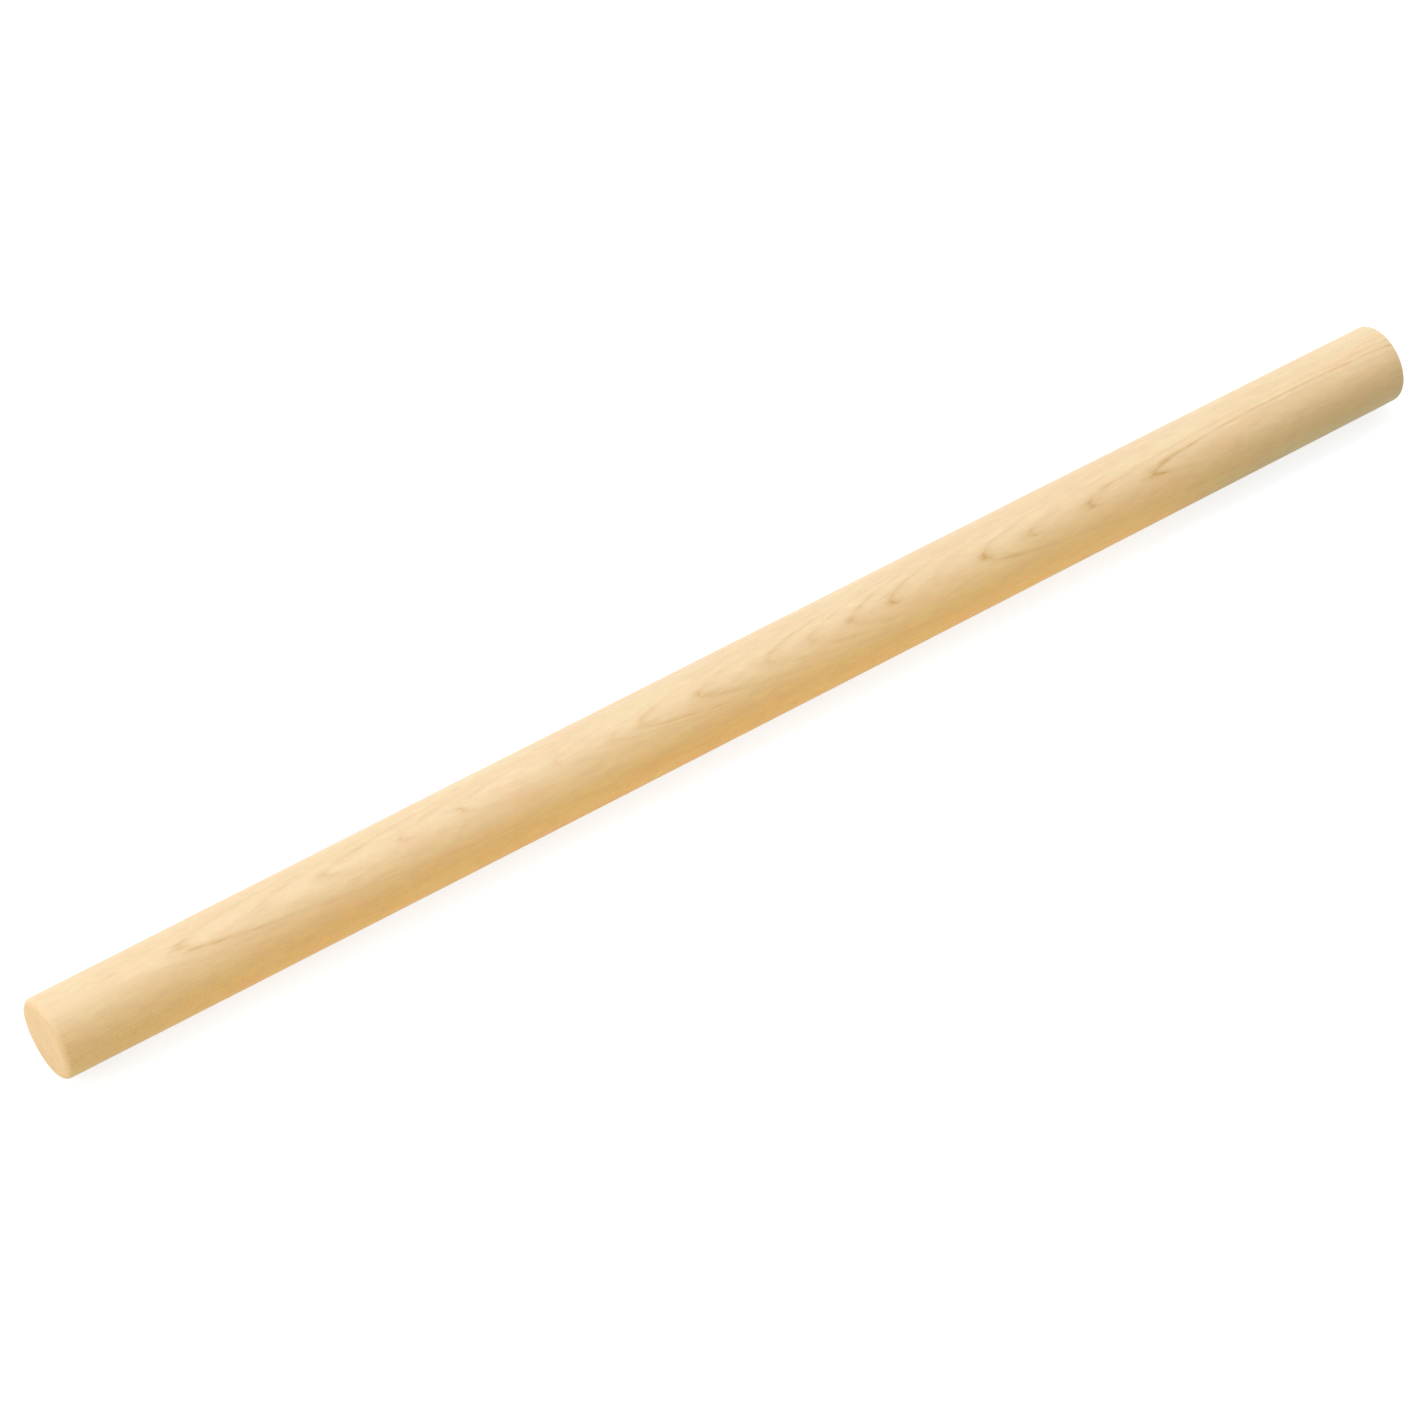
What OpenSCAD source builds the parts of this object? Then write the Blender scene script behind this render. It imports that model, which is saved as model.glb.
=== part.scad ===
// Plain straight rolling pin without handles: one stick of pale hardwood, turned to an even thickness.
// It lies along X with the middle of its axis at the origin, and +Z is up.

/* [Pin] */
// Length of the pin over its two end faces
pin_length = 600; // [300:5:900]
// Diameter of the pin, the same from end to end
pin_diameter = 32; // [20:0.5:60]

/* [Ends] */
// Radius of the rounded edge between each end face and the round side
edge_radius = 2.5; // [0.5:0.5:8]

/* [Hidden] */
$fn = 96;
pin_radius = pin_diameter / 2;
// Radius of the flat part of each end face
face_radius = pin_radius - edge_radius;
// Length of the round side between the two rounded edges
side_length = pin_length - 2 * edge_radius;

// Outline of one half of the pin, from its axis out to the round side, with both outer corners rounded
module half_outline() {
    translate([0, -side_length / 2])
        square([pin_radius, side_length]);
    translate([0, -pin_length / 2])
        square([face_radius, pin_length]);
    for (end = [-1, 1])
        translate([face_radius, end * side_length / 2])
            circle(r = edge_radius);
}

// The whole stick, turned about its axis and laid along X
module rolling_pin() {
    color("wheat")
        rotate([0, 90, 0])
            rotate_extrude()
                half_outline();
}

rolling_pin();
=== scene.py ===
# Straight rolling pin of pale hardwood, lying level on a white studio floor
import math
import random
from functools import partial

import bmesh
import bpy
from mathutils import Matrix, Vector, noise


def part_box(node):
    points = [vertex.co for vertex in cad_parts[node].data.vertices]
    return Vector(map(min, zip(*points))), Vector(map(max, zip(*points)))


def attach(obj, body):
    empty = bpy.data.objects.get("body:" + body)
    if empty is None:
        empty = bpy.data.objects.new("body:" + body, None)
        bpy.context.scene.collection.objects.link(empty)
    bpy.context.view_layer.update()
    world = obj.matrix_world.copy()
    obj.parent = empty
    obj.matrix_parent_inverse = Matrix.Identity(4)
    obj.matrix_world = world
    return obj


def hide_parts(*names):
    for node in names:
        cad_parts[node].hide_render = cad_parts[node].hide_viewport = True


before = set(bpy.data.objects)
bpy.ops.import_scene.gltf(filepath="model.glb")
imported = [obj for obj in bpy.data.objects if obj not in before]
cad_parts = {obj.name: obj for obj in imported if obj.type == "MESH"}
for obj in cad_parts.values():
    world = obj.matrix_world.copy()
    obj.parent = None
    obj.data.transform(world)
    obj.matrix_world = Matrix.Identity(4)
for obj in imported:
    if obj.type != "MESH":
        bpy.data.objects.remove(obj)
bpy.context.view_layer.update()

mm = 0.001
pinLow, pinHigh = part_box("rolling_pin")
halfLength = (pinHigh[0] - pinLow[0]) / 2 / mm
pinRadius = (pinHigh[2] - pinLow[2]) / 2 / mm
pureWhite = (1.0, 1.0, 1.0, 1.0)


def paint(red, green, blue):
    # A screen colour, 0 to 255, as the linear colour that shaders take
    def linear(level):
        level /= 255
        return level / 12.92 if level <= 0.04045 else ((level + 0.055) / 1.055) ** 2.4

    return (linear(red), linear(green), linear(blue), 1.0)


def addObject(name, data):
    made = bpy.data.objects.new(name, data)
    bpy.context.collection.objects.link(made)
    return made


# A socket of a shader tree, so that shader maths is written as plain sums
class Wire:
    def __init__(self, tree, socket=None):
        self.tree = tree
        self.socket = socket

    def node(self, kind, settings=None, values=None, out=0):
        # Goes on from the output that out names, or from each one in a tuple, which may be empty
        made = self.tree.nodes.new(kind)
        for name, value in (settings or {}).items():
            if name == "points":
                placePoints(made.mapping, value)
            else:
                setattr(made, name, value)
        for name, value in (values or {}).items():
            if isinstance(value, Wire):
                self.tree.links.new(value.socket, made.inputs[name])
            else:
                made.inputs[name].default_value = value
        if isinstance(out, tuple):
            return [Wire(self.tree, made.outputs[name]) for name in out]
        return Wire(self.tree, made.outputs[out])

    def calc(self, operation, *terms):
        return self.node("ShaderNodeMath", {"operation": operation}, dict(enumerate(terms)))

    def __add__(self, other):
        return self.calc("ADD", self, other)

    def __radd__(self, other):
        return self.calc("ADD", other, self)

    def __sub__(self, other):
        return self.calc("SUBTRACT", self, other)

    def __rsub__(self, other):
        return self.calc("SUBTRACT", other, self)

    def __mul__(self, other):
        return self.calc("MULTIPLY", self, other)

    def __rmul__(self, other):
        return self.calc("MULTIPLY", other, self)

    def __truediv__(self, other):
        return self.calc("DIVIDE", self, other)

    def __pow__(self, other):
        return self.calc("POWER", self, other)


def placePoints(mapping, points):
    curve = mapping.curves[0]
    while len(curve.points) < len(points):
        curve.points.new(0.5, 0.5)
    for point, (across, up) in zip(curve.points, points):
        point.location = (across, up)
        point.handle_type = "VECTOR"
    mapping.update()


def emptyTree(owner):
    # The shader tree of a new material or world, with nothing in it
    owner.use_nodes = True
    owner.node_tree.nodes.clear()
    return Wire(owner.node_tree)


def ease(wire, value, low, high, bottom=0.0, top=1.0):
    # Turns smoothly from bottom into top as the value goes from low to high
    return wire.node("ShaderNodeMapRange", {"interpolation_type": "SMOOTHSTEP"}, {
        "Value": value, "From Min": low, "From Max": high, "To Min": bottom, "To Max": top})


def graph(wire, value, points):
    # Reads a value off straight lines drawn through the points
    return wire.node("ShaderNodeFloatCurve", {"points": points}, {"Value": value})


def blend(wire, kind, share, first, second):
    # Two colours through a Mix node, whose sockets 6, 7 and 2 are its colour inputs and output
    settings = {"data_type": "RGBA", "blend_type": kind, "clamp_factor": True}
    return wire.node("ShaderNodeMix", settings, {0: share, 6: first, 7: second}, out=2)


# Camera

cameraPlace = {
    "azimuth": -35.19,  # degrees round from the -Y side
    "elevation": 46.24,  # degrees above the level
    "distance": 2.02,  # m from the aim point
    "aim": (-0.0206, -0.0047, 0.0),  # what lies in the middle of the picture
    "lens": 139.94,  # mm
    "frameWidth": 36.0,  # mm
    "sight": (0.01, 50.0),  # nearest and farthest that it sees, in m
}


def setCamera():
    turn = math.radians(cameraPlace["azimuth"])
    rise = math.radians(cameraPlace["elevation"])
    back = Vector((math.sin(turn) * math.cos(rise), -math.cos(turn) * math.cos(rise), math.sin(rise)))
    data = bpy.data.cameras.new("camera")
    data.lens = cameraPlace["lens"]
    data.sensor_width = cameraPlace["frameWidth"]
    data.clip_start, data.clip_end = cameraPlace["sight"]
    camera = addObject("camera", data)
    camera.location = Vector(cameraPlace["aim"]) + back * cameraPlace["distance"]
    camera.rotation_euler = (math.pi / 2 - rise, 0.0, turn)
    bpy.context.scene.camera = camera


setCamera()
print("camera set")


# Studio

studio = {
    "floorSize": 8.0,  # m
    # what the floor throws back onto the pin: a warm board in front of most of it, plainer floor by its far
    # and near ends, pale floor before the near face, and plain floor behind
    "boardBounce": (253, 223, 143),
    "farBounce": (162, 178, 167),
    "nearBounce": (218, 204, 148),
    "faceBounce": (234, 230, 208),
    "backBounce": (222, 220, 214),
    "farFade": (0.17, 0.22),  # m along the pin where each turns into the next
    "nearFade": (-0.25, -0.28),
    "faceFade": (-0.305, -0.315),
    "backFade": (-0.01, 0.02),  # m across
    "floorShown": (165, 178, 196),  # what the camera sees of the paper, before its own glow
    "floorGlow": 0.80,
    "shadowReach": (0.5, 1.4),  # m from the middle where the floor turns into plain white
    "room": (255, 244, 228),
    "roomLevel": 0.16,
    # each lamp's direction from the pin, its distance and size in m, its power in W and its colour
    "lamps": {
        "overhead": ((0.1, 0.33, 1.0), 1.4, (1.6, 0.9), 16.3, (239, 243, 253)),
        "behind": ((-0.5, 1.0, 1.1), 1.5, (1.4, 0.9), 4.3, (220, 228, 255)),
        "left": ((-1.0, 0.0, 0.5), 1.5, (1.0, 1.0), 10.6, (255, 243, 227)),
        "right": ((1.0, 0.1, 0.35), 1.5, (1.0, 1.0), 6.8, (255, 244, 242)),
        "reflector": ((0.08, -1.0, 0.15), 0.9, (0.5, 0.25), 1.85, (255, 223, 162)),
    },
}


def seenDirectly(wire):
    # 1 for what the camera sees, also in gloss or through glass, and 0 for what lights the pin
    rays = ("Is Camera Ray", "Is Glossy Ray", "Is Transmission Ray")
    camera, glossy, through = wire.node("ShaderNodeLightPath", out=rays)
    return wire.calc("MAXIMUM", wire.calc("MAXIMUM", camera, glossy), through)


def makePaper():
    material = bpy.data.materials.new("floorPaper")
    wire = emptyTree(material)
    place = wire.node("ShaderNodeTexCoord", out="Object")

    # What the camera sees: paper that takes the pin's shadow, and plain white further out
    paper = wire.node("ShaderNodeBsdfDiffuse", values={"Color": paint(*studio["floorShown"])})
    glow = wire.node("ShaderNodeEmission", values={"Color": pureWhite, "Strength": studio["floorGlow"]})
    lit = wire.node("ShaderNodeAddShader", values={0: paper, 1: glow})
    blank = wire.node("ShaderNodeEmission", values={"Color": pureWhite, "Strength": 1.0})
    reach = wire.node("ShaderNodeVectorMath", {"operation": "LENGTH"}, {0: place}, out="Value")
    away = ease(wire, reach, *studio["shadowReach"])
    shown = wire.node("ShaderNodeMixShader", values={0: away, 1: lit, 2: blank})

    # What the pin gets back from it
    along, across = wire.node("ShaderNodeSeparateXYZ", values={0: place}, out=("X", "Y"))
    tone = paint(*studio["boardBounce"])
    for part, way in (("far", along), ("near", along), ("face", along), ("back", across)):
        share = ease(wire, way, *studio[part + "Fade"])
        tone = blend(wire, "MIX", share, tone, paint(*studio[part + "Bounce"]))
    bounce = wire.node("ShaderNodeBsdfDiffuse", values={"Color": tone})

    both = wire.node("ShaderNodeMixShader", values={0: seenDirectly(wire), 1: bounce, 2: shown})
    wire.node("ShaderNodeOutputMaterial", values={"Surface": both}, out=())
    return material


def layFloor():
    half = studio["floorSize"] / 2
    level = pinLow[2]
    corners = [(-half, -half, level), (half, -half, level), (half, half, level), (-half, half, level)]
    mesh = bpy.data.meshes.new("floor")
    mesh.from_pydata(corners, [], [(0, 1, 2, 3)])
    mesh.materials.append(makePaper())
    floor = addObject("floor", mesh)


def lightRoom():
    world = bpy.data.worlds.new("room")
    wire = emptyTree(world)
    tint = paint(*studio["room"])
    soft = wire.node("ShaderNodeBackground", values={"Color": tint, "Strength": studio["roomLevel"]})
    blank = wire.node("ShaderNodeBackground", values={"Color": pureWhite, "Strength": 1.0})
    both = wire.node("ShaderNodeMixShader", values={0: seenDirectly(wire), 1: soft, 2: blank})
    wire.node("ShaderNodeOutputWorld", values={"Surface": both}, out=())
    bpy.context.scene.world = world


def hangLamp(name, way, far, size, watts, tint):
    data = bpy.data.lights.new(name, "AREA")
    data.shape = "RECTANGLE"
    data.size, data.size_y = size
    data.energy = watts
    data.color = paint(*tint)[:3]
    lamp = addObject(name, data)
    lamp.location = Vector(way).normalized() * far
    lamp.rotation_euler = (-lamp.location).to_track_quat("-Z", "Y").to_euler()
    lamp.visible_camera = False


layFloor()
lightRoom()
for lampName, lampValues in studio["lamps"].items():
    hangLamp(lampName, *lampValues)
bpy.context.scene.view_settings.view_transform = "Standard"
print("studio lit")


# Turned stick

stick = {
    "edgeRadius": 2.5,  # mm, the rounded edge of each end
    "edgeRings": 8,  # rings of faces over that edge
    "faceRings": 5,  # over each end face
    "stations": 140,  # and along the side
    "around": 160,  # faces in a ring
    "sanded": 0.06,  # mm that sanding took off the drawn radius, at the middle
    "endEase": 0.3,  # mm that it took off besides, at both ends
    "unevenness": 0.03,  # mm between the highest and lowest places that it left
    "unevenLength": 55.0,  # mm along the pin from one such place to the next
    "unevenRound": 1.3,  # and how quickly they follow each other round it
    "lean": {-1: 0.5, 1: 0.2},  # mm that the saw ran off square over a radius, at the near and the far end
    "leanReach": 2.6,  # mm from an end within which the stick follows its slanting face
}

# where the parts of the surface lie on the map for baking, as shares of its width and height
bakeLayout = {
    "sideStart": (0.004, 0.17),
    "sideSize": (0.992, 0.82),
    "endMiddles": {-1: (0.1, 0.08), 1: (0.3, 0.08)},
    "endScale": 0.0045,  # for a mm of an end
    "endDepth": 1.25,  # mm from an end face that still belong to it
}


def sandedAway(along):
    # What sanding took off the radius all round, more of it towards the ends
    return stick["sanded"] + stick["endEase"] * (along / halfLength) ** 2


def unevenness(along, angle):
    across, up = stick["unevenRound"] * math.cos(angle), stick["unevenRound"] * math.sin(angle)
    place = Vector((along / stick["unevenLength"], across, up))
    return 0.5 * stick["unevenness"] * noise.noise(place)


def sawnOff(along, up):
    # How far an end stands back at one height, because the saw cut it a little off square
    if abs(along) < halfLength - stick["leanReach"]:
        return 0.0
    end = 1 if along > 0 else -1
    return end * stick["lean"][end] * (1.0 - up / pinRadius)


def stickOutline():
    # From the middle of the near face to the middle of the far face, as (along, radius)
    edge = stick["edgeRadius"]
    flat = pinRadius - edge
    face = [(-halfLength, flat * step / stick["faceRings"]) for step in range(1, stick["faceRings"] + 1)]
    corner = []
    for step in range(1, stick["edgeRings"] + 1):
        angle = math.pi / 2 * step / stick["edgeRings"]
        corner.append((-halfLength + edge - edge * math.cos(angle), flat + edge * math.sin(angle)))
    side = []
    for step in range(1, stick["stations"]):
        share = step / stick["stations"]
        side.append((-halfLength + edge + (2 * halfLength - 2 * edge) * share, pinRadius))
    near = face + corner
    far = [(-along, radius) for along, radius in reversed(near)]
    return near + side + far


def turnStick():
    count = stick["around"]
    mesh = bmesh.new()
    bakeMap = mesh.loops.layers.uv.new("OFBake")
    rings = []
    for along, radius in stickOutline():
        ring = []
        for step in range(count):
            angle = math.tau * step / count
            here = radius * (1.0 - (sandedAway(along) - unevenness(along, angle)) / pinRadius)
            across, up = here * math.cos(angle), here * math.sin(angle)
            ring.append(mesh.verts.new(((along - sawnOff(along, up)) * mm, across * mm, up * mm)))
        rings.append(ring)
    for end, ring in ((-1, rings[0]), (1, rings[-1])):
        middle = mesh.verts.new(((end * halfLength - sawnOff(end * halfLength, 0.0)) * mm, 0.0, 0.0))
        for step in range(count):
            pair = (ring[step], ring[(step + 1) % count])
            mesh.faces.new((middle, *(pair if end > 0 else reversed(pair))))
    for first, second in zip(rings, rings[1:]):
        for step in range(count):
            after = (step + 1) % count
            mesh.faces.new((first[step], second[step], second[after], first[after]))
    bmesh.ops.recalc_face_normals(mesh, faces=mesh.faces)
    for face in mesh.faces:
        face.smooth = True
        layMap(face, bakeMap)
    data = bpy.data.meshes.new("turned_pin")
    mesh.to_mesh(data)
    mesh.free()
    return addObject("turned_pin", data)


def layMap(face, bakeMap):
    # The round side fills the upper part of the map with the grain across it, and the two ends lie below
    middle = face.calc_center_median() / mm
    onEnd = abs(middle.x) > halfLength - bakeLayout["endDepth"]
    turn = math.atan2(middle.z, middle.y) % math.tau
    for loop in face.loops:
        place = loop.vert.co / mm
        if onEnd:
            left, low = bakeLayout["endMiddles"][-1 if middle.x < 0 else 1]
            scale = bakeLayout["endScale"]
            loop[bakeMap].uv = (left + scale * place.y, low + scale * place.z)
        else:
            angle = math.atan2(place.z, place.y) % math.tau
            if angle - turn > math.pi:
                angle -= math.tau
            if turn - angle > math.pi:
                angle += math.tau
            left, low = bakeLayout["sideStart"]
            width, height = bakeLayout["sideSize"]
            share = (place.x + halfLength) / (2 * halfLength)
            loop[bakeMap].uv = (left + width * share, low + height * angle / math.tau)


# Pale hardwood

grain = {
    # how far the heart of the tree passes from the pin's axis, in mm: a line that bends and steps inwards
    "heartDistance": 58.7,
    "heartSlope": -0.045,
    "heartBend": 0.000025,
    "stepDepth": 4.65,
    "stepPlace": 65.0,
    "stepReach": 75.0,
    "turnPlace": 190.0,  # past here it bends back outwards
    "turnBend": 0.00024,
    # the side of the pin that the heart passes on, in degrees from +Y up to +Z, and its drift for each mm
    "heartSide": 113.5,
    "heartDrift": 0.061,
    # where each growth line turns over on the heart side, in mm from the middle, and how dark it is
    # where it turns, along its lower branch and along its upper branch
    "lines": (
        (183, 1.25, 0.1, 0.7), (150.5, 0.85, 0.05, 0.45), (122.5, 0.65, 0.05, 0.1), (99.5, 0.9, 0.45, 0.3),
        (79, 0.25, 0.05, 0.15), (59, 0.7, 0.05, 0.38), (40.5, 0.75, 0.15, 0.5), (22, 0.42, 0.22, 0.42),
        (4.5, 0.42, 0.22, 0.4), (-25.5, 0.55, 0.3, 0.2), (-56, 0.55, 0.45, 0.3), (-67, 0.25, 0.25, 0.05),
        (-89, 0.25, 0.05, 0.1), (-108, 0.1, 0.05, 0.05), (-132, 0.4, 0.1, 0.15), (-154, 0.3, 0.05, 0.2),
        (-185, 0.55, 0.05, 0.3), (-212, 0.4, 0.05, 0.15), (-244, 0.75, 0.68, 0.3), (-276, 0.1, 0.05, 0.05),
        (-298, 0.05, 0.05, 0.05), (-330, 0.1, 0.1, 0.1), (-360, 0.15, 0.1, 0.1),
    ),
    # the lines nearer to the heart than these: their number, least and most width in mm, and darkness
    "coreCount": 3,
    "coreWidth": (0.77, 1.43),
    "coreDark": (0.075, 0.225),
    "barkWidth": (1.3, 2.3),  # and the same for those further out, as many as the pin has room for
    "barkDark": (0.2, 0.6),
    "seed": 7,
    "turnSharpness": 4.5,  # how narrow a line is in the wood where it turns over
    "branchSharpness": 2.4,  # and along its branches
    "turnBlend": 0.1,  # how far round, as a sine, the two branches pass into each other
    "turnReach": (0.05, 0.16),  # where a line's turn passes into its branches
    "branchReach": (0.2, 0.6),  # and where the branches fade
    "sideLines": 0.25,  # what is left of them round the sides
    "endLines": 0.25,  # how dark they are at least on the end faces
    # layers of waviness, each with its length along the grain and width across it, and how far it pushes a
    # line, all in mm
    "waves": ((60, 12, 0.35), (13, 3.5, 0.2), (5, 1.0, 0.1), (2.2, 0.5, 0.05)),
    # layers of patches in which the lines are darker or fainter than their average darkness
    "patches": ((9, 2.4, 1.1), (30, 8, 0.6)),
    "average": 0.95,
}

paleWood = {
    "early": (235, 210, 166),
    "late": (207, 171, 112),
    "cream": (237, 216, 172),
    "flush": (237, 205, 163),  # pinker than the rest
    "endGrain": (237, 208, 165),
    "ray": (214, 184, 138),  # the short dark flecks of the wood's rays
    "fleck": (0.9, 0.15, 4.0),  # their length along the grain, width and depth towards the heart, in mm
    "fleckEdge": (0.58, 0.74),  # levels of the noise between which a fleck shows
    "fleckShare": 0.25,  # of the rays' colour in the flecks
    # patches and fibres, each with its length along the grain and width across it in mm, and its strength
    "creamPatches": (60, 9, 1.6),
    "creamShare": 0.4,  # of the cream colour on average
    "flushPatches": (24, 5, 1.3),
    "flushShare": 0.05,
    "fibres": ((12, 0.5, 0.06), (7, 0.16, 0.05), (6, 2.2, 0.06)),
    "dullPatches": (30, 2, 0.08),
    "ridges": ((20, 0.3, 0.5), (3, 0.12, 0.3)),
    "lineDip": 0.4,  # how far a growth line and a fleck sink, beside those ridges
    "fleckDip": 0.3,
    "relief": 0.03,  # mm, the height that 1 stands for there
    "reliefStrength": 0.35,
    "endReach": (1.8, 0.2),  # mm from an end over which the side grain turns into end grain
    "endShare": 0.6,  # of the end grain's colour there
    "roughness": 0.5,
    "endRoughness": 0.65,
    "fleckShine": 0.05,  # how much smoother a fleck is
    "gloss": 0.35,
}


def heartDistance(along, tanh=math.tanh, greater=max):
    step = tanh((along - grain["stepPlace"]) / grain["stepReach"]) * grain["stepDepth"]
    past = greater(along - grain["turnPlace"], 0.0)
    bend = along * along * grain["heartBend"] + past * past * grain["turnBend"]
    return bend + along * grain["heartSlope"] + grain["heartDistance"] - step


def growthLines():
    # Every growth line that the stick holds, from the heart out: its distance from the heart in mm, and its
    # darkness at the turn and along both branches
    shaken = random.Random(grain["seed"])
    found = []
    for along, *dark in grain["lines"]:
        found.append((heartDistance(along) - pinRadius + sandedAway(along), *dark))
    for _ in range(grain["coreCount"]):
        mark = found[0][0] - shaken.uniform(*grain["coreWidth"])
        found.insert(0, (mark, *[shaken.uniform(*grain["coreDark"])] * 3))
    last = heartDistance(-halfLength) + pinRadius + grain["barkWidth"][1]
    while found[-1][0] < last:
        mark = found[-1][0] + shaken.uniform(*grain["barkWidth"])
        found.append((mark, *[shaken.uniform(*grain["barkDark"])] * 3))
    return found


def cloud(wire, cells, detail):
    # Soft noise from 0 to 1
    values = {"Vector": cells, "Scale": 1.0, "Detail": detail}
    return wire.node("ShaderNodeTexNoise", values=values, out="Fac")


def wander(wire, place, *layers):
    # Layers of noise, added up. Each has a length along the grain and a width across it in mm, and goes from
    # minus its strength to plus its strength
    total = 0
    for length, width, strength in layers:
        size = (length, width, width)
        cells = wire.node("ShaderNodeVectorMath", {"operation": "DIVIDE"}, {0: place, 1: size})
        total = total + (cloud(wire, cells, 1.0) - 0.5) * (2 * strength)
    return total


def fromHeart(wire, along, across, up):
    # Where a point of the wood lies: how far from the heart in mm, at what angle round it, and how far round
    # the pin from the side that faces the heart, as a sine
    side = along * math.radians(grain["heartDrift"]) + math.radians(grain["heartSide"])
    sideAcross = wire.calc("COSINE", side)
    sideUp = wire.calc("SINE", side)
    distance = heartDistance(along, partial(wire.calc, "TANH"), partial(wire.calc, "MAXIMUM"))
    offAcross = across - distance * sideAcross
    offUp = up - distance * sideUp
    radius = (offAcross * offAcross + offUp * offUp) ** 0.5
    angle = wire.calc("ARCTAN2", offUp, offAcross)
    lateral = (up * sideAcross - across * sideUp) / pinRadius
    return radius, angle, lateral


def lateWood(wire, place, radius, lateral, ends):
    # How much late wood shows, from 0 between the growth lines to 1 in a dark one. The lines are narrower
    # where they turn over, because the surface runs nearly along them there
    marks, *darkness = zip(*growthLines())
    least, most = marks[0], marks[-1]
    last = len(marks) - 1
    shares = [(mark - least) / (most - least) for mark in marks]
    share = (radius + wander(wire, place, *grain["waves"]) - least) / (most - least)
    count = graph(wire, share, [(here, step / last) for step, here in enumerate(shares)]) * last
    line = 1 - wire.calc("ABSOLUTE", wire.calc("FRACT", count + 0.5) - 0.5) * 2

    aside = wire.calc("ABSOLUTE", lateral)
    turned = ease(wire, aside, *grain["turnReach"])
    turnLine = line ** grain["turnSharpness"]
    branchLine = line ** grain["branchSharpness"]
    atTurn, below, above = (graph(wire, share, list(zip(shares, column))) for column in darkness)
    lower = ease(wire, lateral, -grain["turnBlend"], grain["turnBlend"])
    branch = below * lower + above * (1 - lower)
    dark = atTurn * (1 - turned) + branch * turned
    dark = dark * ease(wire, aside, *grain["branchReach"], 1.0, grain["sideLines"])
    dark = wire.calc("MAXIMUM", dark, ends * grain["endLines"])
    patches = wander(wire, place, *grain["patches"]) + grain["average"]
    dark = dark * wire.calc("MAXIMUM", patches, 0.0)
    return dark * (turnLine * (1 - turned) + branchLine * turned)


def rayFlecks(wire, along, angle, radius):
    # Rays are thin sheets that run out from the heart, so they are short dashes on the flat sides
    length, width, depth = paleWood["fleck"]
    arc = angle * grain["heartDistance"]
    cells = wire.node("ShaderNodeCombineXYZ", values={0: along / length, 1: arc / width, 2: radius / depth})
    return ease(wire, cloud(wire, cells, 0.0), *paleWood["fleckEdge"])


def makeWood():
    material = bpy.data.materials.new("paleHardwood")
    wire = emptyTree(material)
    coords = wire.node("ShaderNodeTexCoord", out="Object")
    place = wire.node("ShaderNodeVectorMath", {"operation": "SCALE"}, {0: coords, "Scale": 1 / mm})
    along, across, up = wire.node("ShaderNodeSeparateXYZ", values={0: place}, out=("X", "Y", "Z"))
    ends = ease(wire, halfLength - wire.calc("ABSOLUTE", along), *paleWood["endReach"])
    radius, angle, lateral = fromHeart(wire, along, across, up)
    late = lateWood(wire, place, radius, lateral, ends)
    rays = rayFlecks(wire, along, angle, radius)

    # Colour: each layer over those before it, and the fibres' light and dark over all of them
    layers = {
        "cream": wander(wire, place, paleWood["creamPatches"]) + paleWood["creamShare"],
        "flush": wander(wire, place, paleWood["flushPatches"]) + paleWood["flushShare"],
        "endGrain": ends * paleWood["endShare"],
        "late": late,
        "ray": rays * paleWood["fleckShare"],
    }
    colour = paint(*paleWood["early"])
    for layer, share in layers.items():
        colour = blend(wire, "MIX", share, colour, paint(*paleWood[layer]))
    shade = wander(wire, place, *paleWood["fibres"]) + 1.0
    grey = wire.node("ShaderNodeCombineXYZ", values={0: shade, 1: shade, 2: shade})
    colour = blend(wire, "MULTIPLY", 1.0, colour, grey)

    roughness = wander(wire, place, paleWood["dullPatches"]) + paleWood["roughness"]
    roughness = roughness + ends * (paleWood["endRoughness"] - paleWood["roughness"])
    roughness = roughness - rays * paleWood["fleckShine"]
    relief = wander(wire, place, *paleWood["ridges"])
    relief = relief - late * paleWood["lineDip"] - rays * paleWood["fleckDip"]
    bump = wire.node("ShaderNodeBump", values={
        "Strength": paleWood["reliefStrength"], "Distance": paleWood["relief"] * mm, "Height": relief})
    wood = wire.node("ShaderNodeBsdfPrincipled", values={
        "Base Color": colour, "Roughness": roughness, "Normal": bump,
        "Specular IOR Level": paleWood["gloss"]})
    wire.node("ShaderNodeOutputMaterial", values={"Surface": wood}, out=())
    return material


pin = turnStick()
print("stick turned")
pin.data.materials.append(makeWood())
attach(pin, "root")
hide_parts("rolling_pin")
print("hardwood finished")
